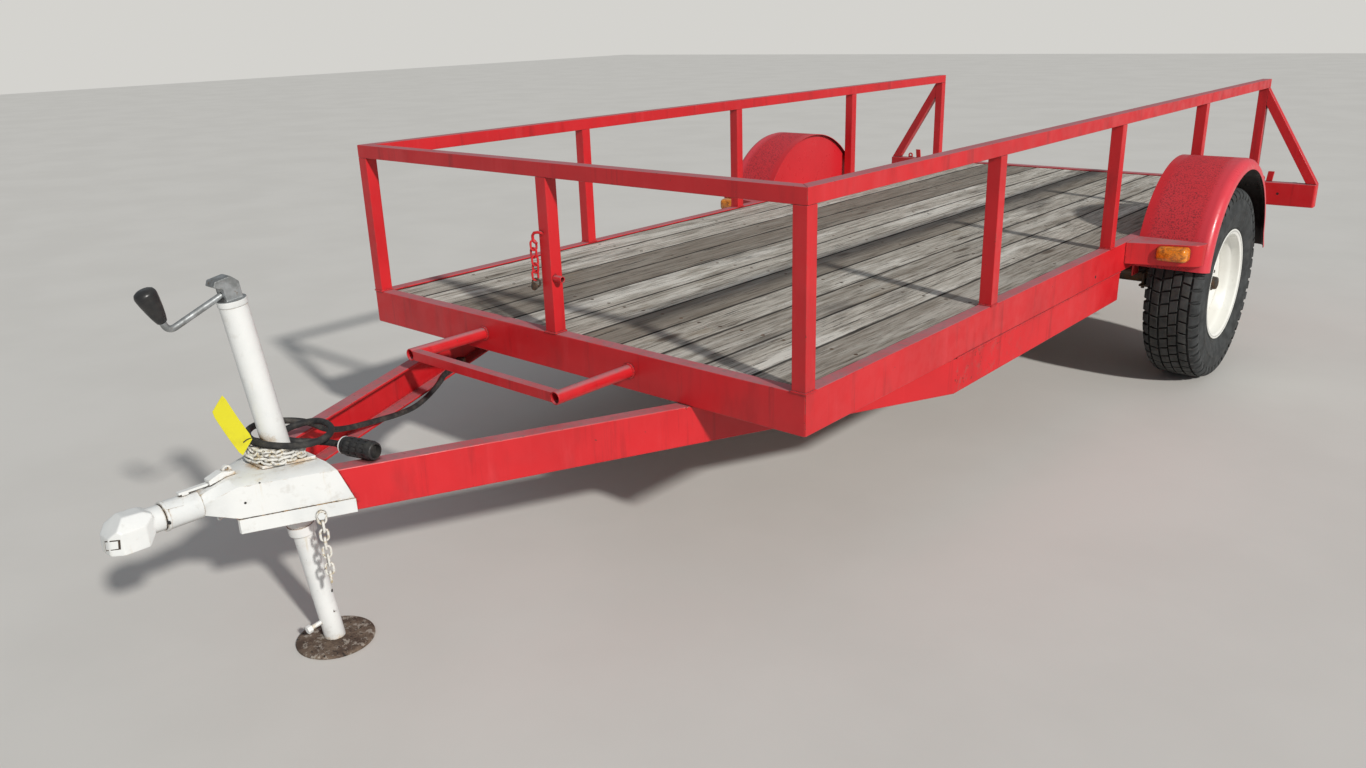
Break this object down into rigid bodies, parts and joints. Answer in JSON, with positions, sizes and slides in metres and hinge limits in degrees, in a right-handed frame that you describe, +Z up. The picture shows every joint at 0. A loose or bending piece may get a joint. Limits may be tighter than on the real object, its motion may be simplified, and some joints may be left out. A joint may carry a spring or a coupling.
{
  "type": "utility trailer",
  "caption": "Single-axle utility trailer with a plank deck, low tube rails, round-top fenders, an A-frame tongue with ball coupler and a drop jack.",
  "frame": {"origin": "on the ground under the middle of the trailer's bounding box", "axes": "+X towards the trailer's left side, +Y towards its rear, +Z up; it is towed towards -Y"},
  "size_m": [2.16, 4.8556, 1.027],
  "materials": {
    "red_paint": "faded gloss enamel",
    "white_paint": "worn gloss enamel",
    "deck_timber": "weathered",
    "amber_lens": "ribbed lens",
    "red_lens": "ribbed lens",
    "tyre_rubber": "worn, dusty",
    "black_steel": "dull and rusty",
    "zinc": "dull zinc plate",
    "black_plastic": "moulded",
    "dirty_steel": "earth and rust"
  },
  "bodies": {
    "trailer": {"front_beam": "red_paint", "side_rail_left": "red_paint", "side_rail_right": "red_paint", "rear_beam": "red_paint", "ramp_lugs": "red_paint", "crossmembers": "red_paint", "tongue_left": "red_paint", "tongue_right": "red_paint", "rack_pipes": "red_paint", "rack_bar": "red_paint", "rail_posts": "red_paint", "top_rail_front": "red_paint", "top_rail_left": "red_paint", "top_rail_right": "red_paint", "rail_braces": "red_paint", "fender_left": "red_paint", "fender_right": "red_paint", "fender_brackets": "red_paint", "latch_tube": "red_paint", "coupler_body": "white_paint", "coupler_strips": "white_paint", "coupler_barrel": "white_paint", "coupler_head": "white_paint", "coupler_latch": "white_paint", "jack_base": "white_paint", "jack_tube": "white_paint", "deck_planks": "deck_timber", "marker_lamps": "amber_lens", "tail_lamps": "red_lens", "cable_clip": "black_steel", "trailer_cable": "black_plastic", "cable_plug": "black_plastic", "hanging_chain": "white_paint", "heaped_chain": "white_paint", "axle_beam": "black_steel", "leaf_springs": "black_steel", "spring_hangers": "red_paint", "spring_clamps": "black_steel", "jack_cap": "zinc", "crank_arm": "zinc", "crank_grip": "black_plastic"},
    "wheel_left": {"tyre_left": "tyre_rubber", "rim_left": "white_paint", "hub_left": "dirty_steel"},
    "wheel_right": {"tyre_right": "tyre_rubber", "rim_right": "white_paint", "hub_right": "dirty_steel"},
    "jack_leg_body": {"jack_leg": "white_paint", "jack_foot": "dirty_steel"}
  },
  "joints": [
    {"name": "wheel_left_spin", "type": "hinge", "parent": "trailer", "child": "wheel_left", "pos_m": [0.962, 1.17024, 0.36], "axis": [1, 0, 0], "continuous": true},
    {"name": "wheel_right_spin", "type": "hinge", "parent": "trailer", "child": "wheel_right", "pos_m": [-0.962, 1.17024, 0.36], "axis": [1, 0, 0], "continuous": true},
    {"name": "jack_slide", "type": "slide", "parent": "trailer", "child": "jack_leg_body", "axis": [0, -0.1253, 0.9921], "range_m": [-0.05, 0.2]}
  ]
}
